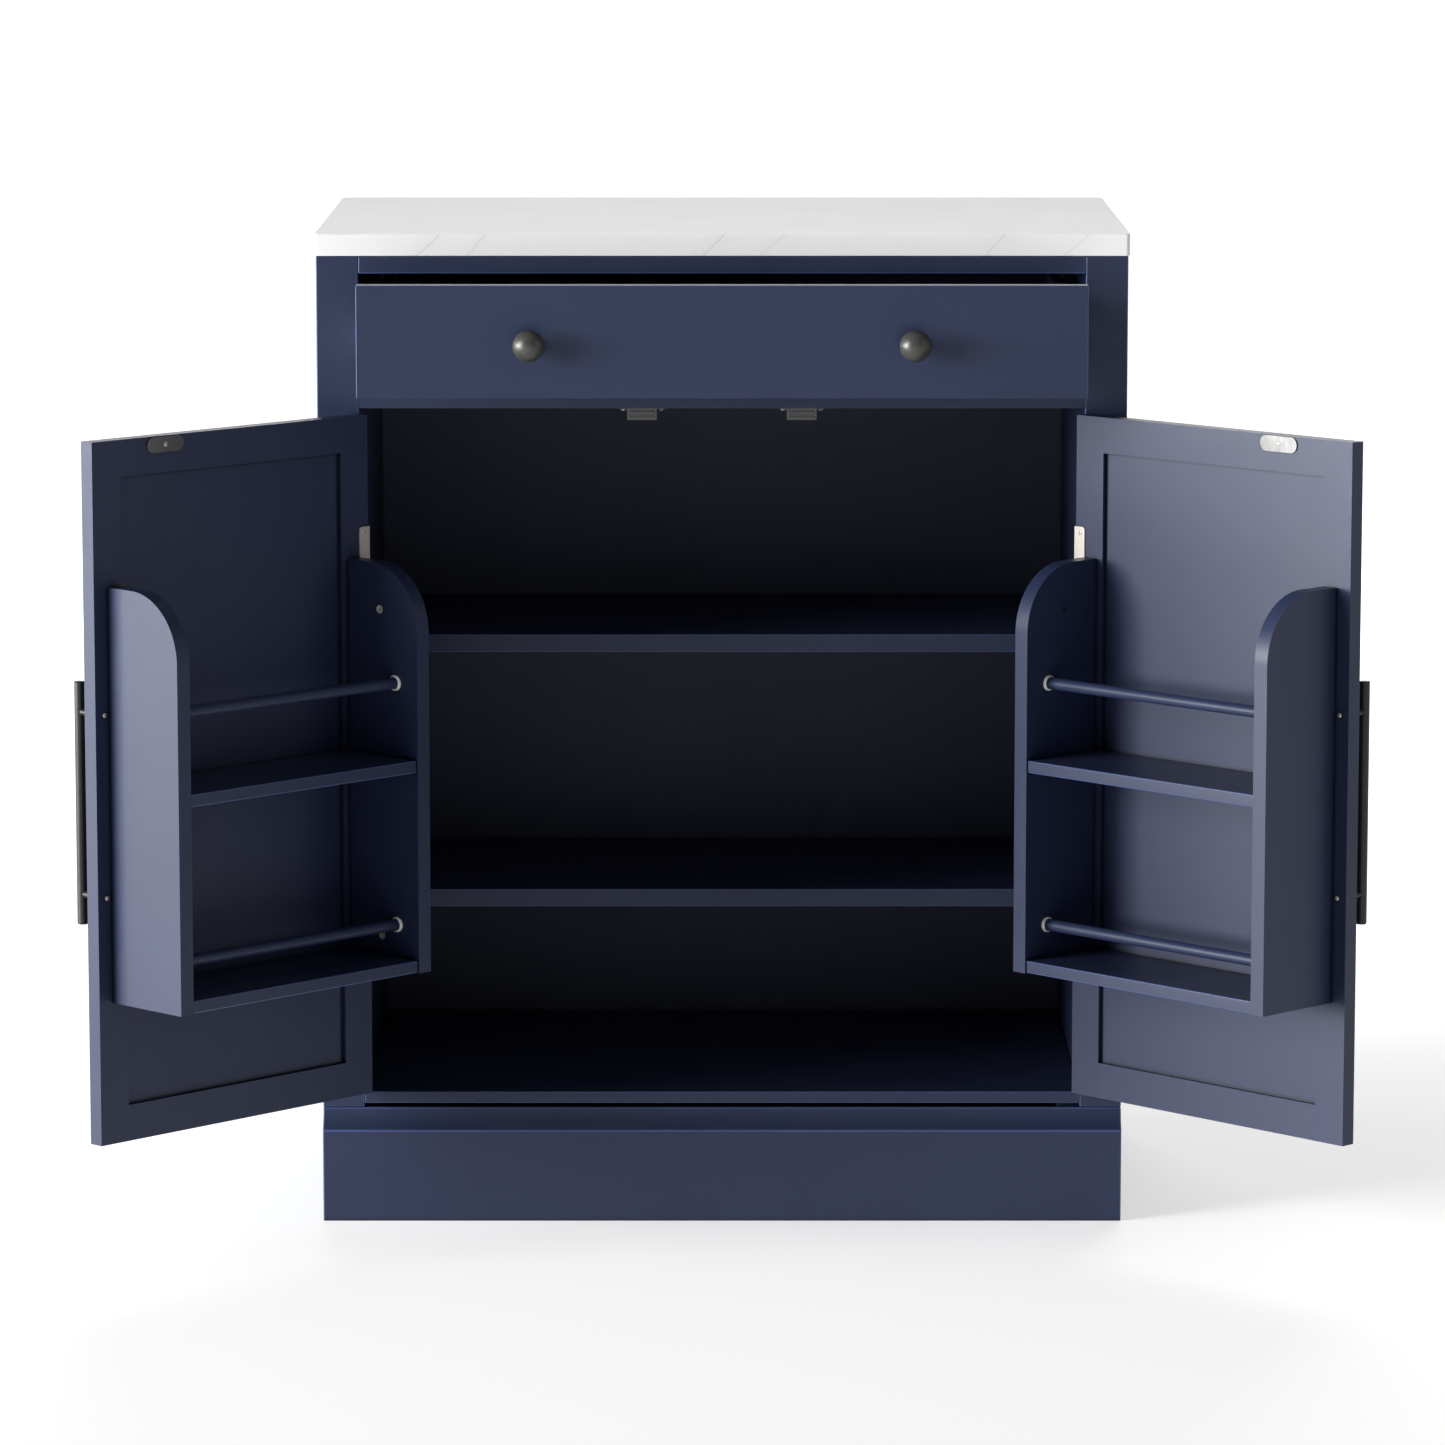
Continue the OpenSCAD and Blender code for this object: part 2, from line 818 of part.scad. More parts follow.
// A rack side from x = 0, its inner face at x = rack_side_t: round upper corner,
// blind holes for the rails and cams in the inner face, bolt holes in the back edge
module rack_side() {
    r = rack_corner_r;
    difference() {
        translate([0, door_t, rack_base_z])
            rotate([90, 0, 90])
                linear_extrude(rack_side_t)
                    union() {
                        square([rack_d, rack_h - r]);
                        square([rack_d - r, rack_h]);
                        intersection() {
                            translate([rack_d - r, rack_h - r]) circle(r);
                            square([rack_d, rack_h]);
                        }
                    }
        for (z = rack_rail_z)
            rod_x([rack_side_t - rack_rail_in, rack_rail_y, z], rack_rail_in + past,
                  rack_rail_dia / 2 + fit_gap);
        for (z = cam_z) {
            rod_x([rack_side_t - cam_depth, cam_y, z], cam_depth + past, cam_r + fit_gap);
            rod_y([rack_side_t / 2, 0, z], cam_y, cam_bolt_r + fit_gap);
        }
    }
}

module rack_hinge_side() {
    translate([rack_hinge_x, 0, 0]) rack_side();
}

module rack_free_side() {
    translate([rack_free_x, 0, 0]) mirror([1, 0, 0]) rack_side();
}

// Both rack shelves, each with a tongue that fills the recess of the door panel
module rack_shelves() {
    x0 = rack_hinge_x + rack_side_t;
    x1 = rack_free_x - rack_side_t;
    tongue_end = 0.5;
    for (z = [rack_lower_z, rack_upper_z])
        translate([0, 0, z])
            linear_extrude(rack_shelf_t)
                union() {
                    translate([x0, door_t])
                        square([x1 - x0, rack_d - rack_shelf_set_back]);
                    translate([door_frame_w + tongue_end, door_t + rack_tongue])
                        square([door_in_w - 2 * tongue_end, 2 - rack_tongue]);
                }
}

module rack_rails() {
    x0 = rack_hinge_x + rack_side_t - rack_rail_in + fit_gap;
    x1 = rack_free_x - rack_side_t + rack_rail_in - fit_gap;
    for (z = rack_rail_z)
        rod_x([x0, rack_rail_y, z], x1 - x0, rack_rail_dia / 2);
}

// Rings round the ends of the rails
module rack_ferrules() {
    for (x = [rack_hinge_x + rack_side_t, rack_free_x - rack_side_t - ferrule_t], z = rack_rail_z)
        difference() {
            rod_x([x, rack_rail_y, z], ferrule_t, ferrule_r);
            rod_x([x - past, rack_rail_y, z], ferrule_t + 2 * past, rack_rail_dia / 2 + fit_gap);
        }
}

// Cam discs in the inner faces and the bolts that run from them into the door
module rack_fittings() {
    for (z = cam_z) {
        rod_x([rack_hinge_x + rack_side_t - cam_depth, cam_y, z], cam_depth, cam_r);
        rod_x([rack_free_x - rack_side_t, cam_y, z], cam_depth, cam_r);
    }
    rack_bolt_places()
        rod_y([0, cam_bolt_start_y, 0], cam_y - cam_r - cam_bolt_start_y - fit_gap, cam_bolt_r);
}

// ---------- the two doors, placed ----------

module left_door_stiles() { color(NAVY) on_left_door() door_stiles(); }
module left_door_rails() { color(NAVY) on_left_door() door_rails(); }
module left_door_panel() { color(NAVY) on_left_door() door_panel_shape(); }
module left_hinge_leaves() { color(NICKEL) on_left_door() door_leaves(); }
module left_strike_plate() { color(NICKEL) on_left_door() strike_plate(); }
module left_handle() { color(BLACK) on_left_door() handle(); }
module left_door_screws() { color(NICKEL) on_left_door() door_screws(); }
module left_rack_hinge_side() { color(NAVY) on_left_door() rack_hinge_side(); }
module left_rack_free_side() { color(NAVY) on_left_door() rack_free_side(); }
module left_rack_shelves() { color(NAVY) on_left_door() rack_shelves(); }
module left_rack_rails() { color(NAVY) on_left_door() rack_rails(); }
module left_rack_ferrules() { color(NICKEL) on_left_door() rack_ferrules(); }
module left_rack_fittings() { color(NICKEL) on_left_door() rack_fittings(); }

module right_door_stiles() { color(NAVY) on_right_door() door_stiles(); }
module right_door_rails() { color(NAVY) on_right_door() door_rails(); }
module right_door_panel() { color(NAVY) on_right_door() door_panel_shape(); }
module right_hinge_leaves() { color(NICKEL) on_right_door() door_leaves(); }
module right_strike_plate() { color(NICKEL) on_right_door() strike_plate(); }
module right_handle() { color(BLACK) on_right_door() handle(); }
module right_door_screws() { color(NICKEL) on_right_door() door_screws(); }
module right_rack_hinge_side() { color(NAVY) on_right_door() rack_hinge_side(); }
module right_rack_free_side() { color(NAVY) on_right_door() rack_free_side(); }
module right_rack_shelves() { color(NAVY) on_right_door() rack_shelves(); }
module right_rack_rails() { color(NAVY) on_right_door() rack_rails(); }
module right_rack_ferrules() { color(NICKEL) on_right_door() rack_ferrules(); }
module right_rack_fittings() { color(NICKEL) on_right_door() rack_fittings(); }

// ---------- drawing ----------

worktop();
left_stile();
right_stile();
top_rail();
drawer_rail();
left_side_panel();
right_side_panel();
left_side_lining();
right_side_lining();
case_battens();
bottom_panel();
inner_back_panel();
back_panel();
plinth_front();
plinth_sides();
plinth_back();
upper_shelf();
lower_shelf();
shelf_pins();
runner_channels();
catch_bodies();
catch_plates();
hinge_frame_leaves();
hinge_pins();
case_screws();
drawer_front();
drawer_left_side();
drawer_right_side();
drawer_back();
drawer_bottom();
runner_slides();
drawer_knobs();
knob_screws();
left_door_stiles();
left_door_rails();
left_door_panel();
left_hinge_leaves();
left_strike_plate();
left_handle();
left_door_screws();
left_rack_hinge_side();
left_rack_free_side();
left_rack_shelves();
left_rack_rails();
left_rack_ferrules();
left_rack_fittings();
right_door_stiles();
right_door_rails();
right_door_panel();
right_hinge_leaves();
right_strike_plate();
right_handle();
right_door_screws();
right_rack_hinge_side();
right_rack_free_side();
right_rack_shelves();
right_rack_rails();
right_rack_ferrules();
right_rack_fittings();
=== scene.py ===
import json
import math

import bmesh
import bpy
from mathutils import Matrix, Vector


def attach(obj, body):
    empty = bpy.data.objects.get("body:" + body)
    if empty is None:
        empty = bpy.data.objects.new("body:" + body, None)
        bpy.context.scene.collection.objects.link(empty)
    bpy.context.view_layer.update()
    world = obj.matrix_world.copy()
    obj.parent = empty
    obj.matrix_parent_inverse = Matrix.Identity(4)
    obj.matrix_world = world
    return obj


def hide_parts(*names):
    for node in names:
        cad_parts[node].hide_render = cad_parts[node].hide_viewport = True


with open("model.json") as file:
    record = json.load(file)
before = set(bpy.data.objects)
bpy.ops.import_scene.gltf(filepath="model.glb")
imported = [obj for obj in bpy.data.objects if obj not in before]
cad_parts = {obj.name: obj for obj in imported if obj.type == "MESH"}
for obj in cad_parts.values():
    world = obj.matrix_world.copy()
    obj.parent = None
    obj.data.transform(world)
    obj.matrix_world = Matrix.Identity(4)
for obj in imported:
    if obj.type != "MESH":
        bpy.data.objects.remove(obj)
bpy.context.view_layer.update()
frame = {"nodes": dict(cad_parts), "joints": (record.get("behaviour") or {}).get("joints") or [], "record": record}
nodes = frame["nodes"]
joints = {joint["name"]: joint for joint in frame["joints"]}
MM = 0.001


# ---------- node material helpers ----------

def new_material(name):
    mat = bpy.data.materials.new(name)
    mat.use_nodes = True
    tree = mat.node_tree
    tree.nodes.clear()
    out = tree.nodes.new("ShaderNodeOutputMaterial")
    shader = tree.nodes.new("ShaderNodeBsdfPrincipled")
    tree.links.new(shader.outputs["BSDF"], out.inputs["Surface"])
    return mat, tree, shader


def object_coords(tree, turn=0.0):
    """Object coordinates in metres, turned about the upright axis."""
    coords = tree.nodes.new("ShaderNodeTexCoord")
    mapping = tree.nodes.new("ShaderNodeMapping")
    mapping.inputs["Rotation"].default_value = (0, 0, turn)
    tree.links.new(coords.outputs["Object"], mapping.inputs["Vector"])
    return mapping.outputs["Vector"]


def stretched(tree, vector, scale):
    mapping = tree.nodes.new("ShaderNodeMapping")
    mapping.inputs["Scale"].default_value = scale
    tree.links.new(vector, mapping.inputs["Vector"])
    return mapping.outputs["Vector"]


def noise(tree, vector, scale, detail=3.0, roughness=0.5):
    tex = tree.nodes.new("ShaderNodeTexNoise")
    tex.inputs["Scale"].default_value = scale
    tex.inputs["Detail"].default_value = detail
    tex.inputs["Roughness"].default_value = roughness
    tree.links.new(vector, tex.inputs["Vector"])
    return tex.outputs["Fac"]


def remap(tree, value, low, high, to_low, to_high):
    node = tree.nodes.new("ShaderNodeMapRange")
    node.inputs["From Min"].default_value = low
    node.inputs["From Max"].default_value = high
    node.inputs["To Min"].default_value = to_low
    node.inputs["To Max"].default_value = to_high
    tree.links.new(value, node.inputs["Value"])
    return node.outputs["Result"]


def mix_colors(tree, factor, first, second):
    """Mixes two colours, each a tuple or a socket."""
    node = tree.nodes.new("ShaderNodeMix")
    node.data_type = "RGBA"
    tree.links.new(factor, node.inputs["Factor"])
    sockets = [s for s in node.inputs if s.type == "RGBA"]
    for socket, value in zip(sockets, (first, second)):
        if isinstance(value, tuple):
            socket.default_value = (*value, 1)
        else:
            tree.links.new(value, socket)
    return [s for s in node.outputs if s.type == "RGBA"][0]


def math_node(tree, operation, *values):
    """One math step on numbers and sockets."""
    node = tree.nodes.new("ShaderNodeMath")
    node.operation = operation
    for socket, value in zip(node.inputs, values):
        if isinstance(value, (int, float)):
            socket.default_value = value
        else:
            tree.links.new(value, socket)
    return node.outputs["Value"]


def weighted_sum(tree, first, share, second):
    """Two textures added up, the first with the given share and the second with the rest."""
    part = math_node(tree, "MULTIPLY", first, share)
    rest = math_node(tree, "MULTIPLY", second, 1 - share)
    return math_node(tree, "ADD", part, rest)


def bump(tree, shader, height, distance):
    node = tree.nodes.new("ShaderNodeBump")
    node.inputs["Distance"].default_value = distance
    tree.links.new(height, node.inputs["Height"])
    tree.links.new(node.outputs["Normal"], shader.inputs["Normal"])


# The parts of a noise's range that hold most of its values and nearly all of them
MOST_NOISE, ALL_NOISE = (0.35, 0.65), (0.3, 0.7)
# Texture scales are in cycles over a metre, reliefs in metres
LACQUER_DRIFT, LACQUER_GRAIN, LACQUER_HAZE, LACQUER_STIPPLE = 7.0, 420.0, 30.0, 1400.0
LACQUER_GLOSS_SPREAD = 0.035
LACQUER_RELIEF = 0.025 * MM
STREAK_RELIEF = 1.2
METAL_GRAIN, METAL_CLOUDS = 500.0, 60.0
METAL_GLOSSIER, METAL_DULLER = 0.05, 0.06
METAL_RELIEF = 0.01 * MM
PLASTIC_GRAIN = 1800.0
PLASTIC_GLOSS_SPREAD = 0.05
PLASTIC_RELIEF = 0.04 * MM
STONE_CLOUDS, STONE_POLISH, STONE_GRAIN = 3.0, 14.0, 60.0
STONE_ROUGHNESS = (0.30, 0.34)
STONE_RELIEF = 0.002 * MM
# How far from a corner the painted shade reaches, and its near-black colour
CREVICE_SHADE_REACH = 4.5 * MM
CREVICE_SHADE_COLOR = (0.001, 0.0015, 0.004)
# Rays of each probe, and the openness at which the painted shade is darkest and at which it ends
CREVICE_SHADE_SAMPLES = 8
CREVICE_SHADE_RANGE = (0.45, 0.93)
STONE_DARK = (0.755, 0.755, 0.748)
STONE_LIGHT = (0.785, 0.785, 0.778)
STONE_VEIN = (0.46, 0.46, 0.47)
VEIN_HALF_WIDTH = 0.8 * MM
VEIN_HALO_WIDTH = 12 * VEIN_HALF_WIDTH
VEIN_HALO = 0.14
VEIN_WAVE = 30 * MM
VEIN_WAVES, VEIN_FADES = 5.0, 4.5
# Where in its noise's range a vein fades, and the share of its strength that it keeps there
VEIN_FADE_RANGE = (0.40, 0.56)
VEIN_FADED = 0.12
# Each family of veins: the direction it crosses, its spacing, where it starts and its strength
VEIN_FAMILIES = (
    ((0.50, 0.71, -0.50), 132 * MM, 0.05, 0.62),
    ((0.50, 0.62, -0.50), 137.5 * MM, 0.70, 0.45),
)
NAVY = ((0.0158, 0.0228, 0.0575), (0.0182, 0.0260, 0.0640))
BOARD = ((0.036, 0.042, 0.072), (0.042, 0.048, 0.082))
FAINT = 0.02


def painted_crevice_shade(tree, reach):
    """Painted shade mask from an ambient-occlusion probe: 0 deep in a corner or joint, 1 in the open."""
    node = tree.nodes.new("ShaderNodeAmbientOcclusion")
    node.samples = CREVICE_SHADE_SAMPLES
    node.inputs["Distance"].default_value = reach
    return remap(tree, node.outputs["AO"], *CREVICE_SHADE_RANGE, 0.0, 1.0)


# ---------- materials ----------

def paint(name, dark, light, grain, turn=0.0, roughness=0.42, specular=0.5):
    """Sprayed satin lacquer on board: slight colour drift, brushed grain below it, fine stipple.
    The grain runs along the axis whose scale in grain is small."""
    mat, tree, shader = new_material(name)
    vector = object_coords(tree, turn)
    drift = noise(tree, vector, LACQUER_DRIFT, detail=4.0)
    streaks = noise(tree, stretched(tree, vector, grain), LACQUER_GRAIN, detail=3.0, roughness=0.6)
    tone = weighted_sum(tree, drift, 0.7, streaks)
    body = mix_colors(tree, remap(tree, tone, *MOST_NOISE, 0, 1), dark, light)
    # Painted shade: the lacquer's colour turns nearly black in corners and joints
    unshaded_part = painted_crevice_shade(tree, CREVICE_SHADE_REACH)
    tree.links.new(mix_colors(tree, unshaded_part, CREVICE_SHADE_COLOR, body), shader.inputs["Base Color"])
    haze = noise(tree, vector, LACQUER_HAZE, detail=5.0, roughness=0.6)
    sheen = weighted_sum(tree, haze, 0.6, streaks)
    spread = LACQUER_GLOSS_SPREAD
    gloss = remap(tree, sheen, *ALL_NOISE, roughness - spread, roughness + spread)
    tree.links.new(gloss, shader.inputs["Roughness"])
    stipple = noise(tree, vector, LACQUER_STIPPLE, detail=2.0)
    relief = math_node(tree, "ADD", stipple, math_node(tree, "MULTIPLY", streaks, STREAK_RELIEF))
    bump(tree, shader, relief, LACQUER_RELIEF)
    shader.inputs["Specular IOR Level"].default_value = specular
    return mat


def metal(name, dark, light, roughness, grain, metallic=1.0):
    """Plated or blackened metal with fine directional grain."""
    mat, tree, shader = new_material(name)
    vector = object_coords(tree)
    streak = noise(tree, stretched(tree, vector, grain), METAL_GRAIN, detail=4.0)
    cloud = noise(tree, vector, METAL_CLOUDS, detail=3.0)
    tone = weighted_sum(tree, streak, 0.6, cloud)
    body = mix_colors(tree, remap(tree, tone, *ALL_NOISE, 0, 1), dark, light)
    tree.links.new(body, shader.inputs["Base Color"])
    gloss = remap(tree, tone, *ALL_NOISE, roughness - METAL_GLOSSIER, roughness + METAL_DULLER)
    tree.links.new(gloss, shader.inputs["Roughness"])
    bump(tree, shader, streak, METAL_RELIEF)
    shader.inputs["Metallic"].default_value = metallic
    return mat


def vein_family(tree, vector, across, spacing, phase, most):
    """Strength of thin veins that cross the given direction, slightly wavy and fading in and out."""
    dot = tree.nodes.new("ShaderNodeVectorMath")
    dot.operation = "DOT_PRODUCT"
    dot.inputs[1].default_value = tuple(c / spacing for c in across)
    tree.links.new(vector, dot.inputs[0])
    wave = noise(tree, vector, VEIN_WAVES, detail=3.0)
    drift = math_node(tree, "MULTIPLY_ADD", wave, VEIN_WAVE / spacing, phase - 0.5 * VEIN_WAVE / spacing)
    track = math_node(tree, "ADD", dot.outputs["Value"], drift)
    offset = math_node(tree, "SUBTRACT", math_node(tree, "FRACT", track), 0.5)
    distance = math_node(tree, "MULTIPLY", math_node(tree, "ABSOLUTE", offset), spacing)
    line = remap(tree, distance, 0.0, VEIN_HALF_WIDTH, 1.0, 0.0)
    halo = remap(tree, distance, 0.0, VEIN_HALO_WIDTH, VEIN_HALO, 0.0)
    fading = noise(tree, vector, VEIN_FADES, detail=1.0)
    stretches = remap(tree, fading, *VEIN_FADE_RANGE, VEIN_FADED * most, most)
    return math_node(tree, "MULTIPLY", math_node(tree, "MAXIMUM", line, halo), stretches)


def stone(name):
    """Polished white stone: a nearly even body, soft clouds and pairs of thin slanted grey veins."""
    mat, tree, shader = new_material(name)
    vector = object_coords(tree)
    cloud = noise(tree, vector, STONE_CLOUDS, detail=2.0, roughness=0.4)
    body = mix_colors(tree, remap(tree, cloud, *MOST_NOISE, 0, 1), STONE_DARK, STONE_LIGHT)
    families = [vein_family(tree, vector, *family) for family in VEIN_FAMILIES]
    veins = math_node(tree, "MAXIMUM", *families)
    tree.links.new(mix_colors(tree, veins, body, STONE_VEIN), shader.inputs["Base Color"])
    polish = noise(tree, vector, STONE_POLISH, detail=3.0)
    tree.links.new(remap(tree, polish, 0.0, 1.0, *STONE_ROUGHNESS), shader.inputs["Roughness"])
    grain = noise(tree, vector, STONE_GRAIN, detail=2.0)
    bump(tree, shader, grain, STONE_RELIEF)
    return mat


def plastic(name, dark, light, roughness):
    """Moulded plastic with a fine spark-eroded texture."""
    mat, tree, shader = new_material(name)
    vector = object_coords(tree)
    fine = noise(tree, vector, PLASTIC_GRAIN, detail=2.0)
    tree.links.new(mix_colors(tree, fine, dark, light), shader.inputs["Base Color"])
    spread = PLASTIC_GLOSS_SPREAD
    gloss = remap(tree, fine, *ALL_NOISE, roughness - spread, roughness + spread)
    tree.links.new(gloss, shader.inputs["Roughness"])
    bump(tree, shader, fine, PLASTIC_RELIEF)
    return mat


OPEN_ANGLE = -math.radians(joints["left_door_hinge"]["range_deg"][0])
# Which way the grain runs: its scale along X, Y and Z, and the turn of the board about Z
GRAINS = {
    "up": ((1, 1, FAINT), 0.0),
    "across": ((FAINT, 1, 1), 0.0),
    "left_door": ((FAINT, 1, 1), OPEN_ANGLE),
    "right_door": ((FAINT, 1, 1), -OPEN_ANGLE),
}
PAINTS = {
    "navy_paint": dict(colors=NAVY, roughness=0.42, specular=0.33),
    "door_paint": dict(colors=NAVY, roughness=0.42, specular=0.33),
    "rack_paint": dict(colors=NAVY, roughness=0.42, specular=0.33),
    "inside_paint": dict(colors=NAVY, roughness=0.48, specular=0.33),
    "back_board": dict(colors=BOARD, roughness=0.6, specular=0.3),
}
OTHERS = {
    "stone": lambda name: stone(name),
    "knob_metal": lambda name: metal(
        name, (0.050, 0.050, 0.046), (0.062, 0.062, 0.057), 0.36, (1, 1, 1), metallic=0.3),
    "handle_metal": lambda name: metal(
        name, (0.016, 0.016, 0.016), (0.022, 0.022, 0.022), 0.38, (1, 1, 0.1), metallic=0.3),
    "nickel": lambda name: metal(
        name, (0.50, 0.47, 0.42), (0.58, 0.55, 0.50), 0.32, (1, 1, 0.08), metallic=0.35),
    "ferrule_metal": lambda name: metal(
        name, (0.90, 0.90, 0.89), (0.95, 0.95, 0.94), 0.25, (1, 1, 1), metallic=0.1),
    "strike_steel": lambda name: metal(
        name, (0.140, 0.139, 0.138), (0.165, 0.164, 0.163), 0.20, (1, 1, 0.2)),
    "zinc": lambda name: metal(
        name, (0.88, 0.87, 0.84), (0.94, 0.93, 0.90), 0.32, (0.1, 1, 1), metallic=0.1),
    "pole_steel": lambda name: metal(name, (0.10, 0.10, 0.105), (0.14, 0.14, 0.145), 0.45, (0.1, 1, 1)),
    "catch_plastic": lambda name: plastic(name, (0.060, 0.061, 0.063), (0.075, 0.076, 0.078), 0.5),
}
made = {}
# Painted highlight: how much lighter the lacquer's colour is made along the rounded edges, and how much glossier
# it is there
EDGE_PAINTED_HIGHLIGHT = 3.0
EDGE_GLOSSIER = 0.12


def material(slot, grain, rubbed=False):
    """The slot's material, with its grain along the board where it is painted."""
    key = slot
    if slot in PAINTS:
        key += f"_{grain}_rubbed" if rubbed else f"_{grain}"
    if key not in made:
        if slot in PAINTS:
            look = PAINTS[slot]
            scale, turn = GRAINS[grain]
            colors, roughness = look["colors"], look["roughness"]
            if rubbed:
                # Painted highlight: the edge copy of the lacquer is lightened to stand in for the light that the
                # rounded edges catch
                colors = [tuple(c * EDGE_PAINTED_HIGHLIGHT for c in color) for color in colors]
                roughness -= EDGE_GLOSSIER
            made[key] = paint(key, *colors, scale, turn, roughness, look["specular"])
        else:
            made[key] = OTHERS[slot](key)
    return made[key]


# ---------- edges and shading ----------

SMOOTH_UP_TO = math.radians(35)
BEVEL_FROM = math.radians(40)
FLAT_WITHIN = math.radians(0.6)
WELD_WITHIN = 0.01 * MM


def smooth_by_angle_group():
    """Geometry nodes that smooth every face and keep edges sharper than an angle sharp."""
    group = bpy.data.node_groups.new("smooth_by_angle", "GeometryNodeTree")
    group.interface.new_socket("Geometry", in_out="INPUT", socket_type="NodeSocketGeometry")
    group.interface.new_socket("Geometry", in_out="OUTPUT", socket_type="NodeSocketGeometry")
    start = group.nodes.new("NodeGroupInput")
    end = group.nodes.new("NodeGroupOutput")
    faces = group.nodes.new("GeometryNodeSetShadeSmooth")
    edges = group.nodes.new("GeometryNodeSetShadeSmooth")
    edges.domain = "EDGE"
    angle = group.nodes.new("GeometryNodeInputMeshEdgeAngle")
    compare = group.nodes.new("FunctionNodeCompare")
    compare.data_type = "FLOAT"
    compare.operation = "LESS_EQUAL"
    compare.inputs["B"].default_value = SMOOTH_UP_TO
    group.links.new(angle.outputs["Unsigned Angle"], compare.inputs["A"])
    group.links.new(start.outputs[0], faces.inputs["Geometry"])
    group.links.new(faces.outputs["Geometry"], edges.inputs["Geometry"])
    group.links.new(compare.outputs["Result"], edges.inputs["Shade Smooth"])
    group.links.new(edges.outputs["Geometry"], end.inputs[0])
    return group


SMOOTH = smooth_by_angle_group()
# Radius in millimetres to which each finish rounds a sharp edge
EDGE_ROUND = {
    "stone": 0.9, "navy_paint": 1.2, "door_paint": 0.9, "rack_paint": 0.9, "inside_paint": 0.7,
    "back_board": 0.4, "handle_metal": 0.3, "nickel": 0.15, "ferrule_metal": 0.35, "zinc": 0.2,
    "pole_steel": 0.2, "knob_metal": 0.3, "catch_plastic": 0.4,
}


def round_edges(obj, radius):
    bevel = obj.modifiers.new("edge", "BEVEL")
    bevel.width = radius * MM
    bevel.segments = 3
    bevel.limit_method = "ANGLE"
    bevel.angle_limit = BEVEL_FROM
    bevel.use_clamp_overlap = True


def smooth(obj):
    """Smooth shading that stays flat on flat faces next to their rounded edges."""
    obj.modifiers.new("smooth", "NODES").node_group = SMOOTH
    weighted = obj.modifiers.new("weighted", "WEIGHTED_NORMAL")
    weighted.mode = "FACE_AREA"
    weighted.weight = 100
    weighted.keep_sharp = True


def grain_of(node, body):
    """Rails, shelves and wide boards lie across; the rest stands upright."""
    lies = ("rail", "shel", "drawer", "bottom", "plinth", "batten")
    if not any(word in node for word in lies):
        return "up"
    return body if body in ("left_door", "right_door") else "across"


def dress(node, slot, body):
    """Rounds a CAD node's sharp edges and gives it its material."""
    obj = nodes[node]
    weld = obj.modifiers.new("weld", "WELD")
    weld.merge_threshold = WELD_WITHIN
    flat = obj.modifiers.new("flat", "DECIMATE")
    flat.decimate_type = "DISSOLVE"
    flat.angle_limit = FLAT_WITHIN
    round_edges(obj, EDGE_ROUND[slot])
    smooth(obj)
    grain = grain_of(node, body)
    obj.data.materials.clear()
    obj.data.materials.append(material(slot, grain))
    # Painted lacquer gets a second, lighter copy on its rounded edges as a painted highlight
    if slot in PAINTS:
        obj.data.materials.append(material(slot, grain, rubbed=True))
        obj.modifiers["edge"].material = 1


bodies = frame["record"]["behaviour"]["bodies"]
body_of = {node: body for body, members in bodies.items() for node in members}
slot_of = {part["node"]: part["material_slot"] for part in frame["record"]["subparts"]}
for node_name, slot_name in slot_of.items():
    dress(node_name, slot_name, body_of[node_name])
for side_name in ("left", "right"):
    nodes[f"{side_name}_strike_plate"].data.materials[0] = material("strike_steel", "up")


# ---------- reading the CAD nodes ----------

PIN_TO_EDGE = 2.95 * MM


def left_door_frame():
    """From the left door's own frame to the row frame at rest: x from the hinge edge across
    the door, y from its outer face inwards, z up."""
    pin = Vector(joints["left_door_hinge"]["pos_m"])
    turn = Matrix.Rotation(-OPEN_ANGLE, 4, "Z")
    return Matrix.Translation((pin.x, pin.y, 0)) @ turn @ Matrix.Translation((PIN_TO_EDGE, -pin.y, 0))


DOOR = left_door_frame()
# Corners that are the same to a hundredth of a millimetre count as one
CORNER_STEPS = 1e5


def loose_parts(node, to_local):
    """Lowest and highest corner of each separate solid of a node, in a local frame."""
    mesh = nodes[node].data
    place = {}
    key = []
    for vertex in mesh.vertices:
        spot = tuple(round(c * CORNER_STEPS) for c in vertex.co)
        key.append(place.setdefault(spot, len(place)))
    parent = list(range(len(place)))

    def root(i):
        while parent[i] != i:
            parent[i] = parent[parent[i]]
            i = parent[i]
        return i

    for poly in mesh.polygons:
        first = root(key[poly.vertices[0]])
        for v in poly.vertices[1:]:
            parent[root(key[v])] = first
    groups = {}
    for vertex, k in zip(mesh.vertices, key):
        groups.setdefault(root(k), []).append(to_local @ vertex.co)
    boxes = []
    for points in groups.values():
        low = Vector(min(p[i] for p in points) for i in range(3))
        high = Vector(max(p[i] for p in points) for i in range(3))
        boxes.append((low, high))
    return sorted(boxes, key=lambda b: tuple(round(c, 5) for c in b[0]))


# ---------- building blocks of the detail pieces ----------

ON_AXIS = 1e-9
# How much a cross recess narrows towards its foot and widens above the head
CROSS_TAPER = 0.45


def arc(center_r, center_z, radius, start, end, steps):
    """Points of an arc in a turned outline, angles in degrees from the outward direction."""
    angles = [math.radians(start + (end - start) * i / steps) for i in range(steps + 1)]
    return [(center_r + radius * math.cos(a), center_z + radius * math.sin(a)) for a in angles]


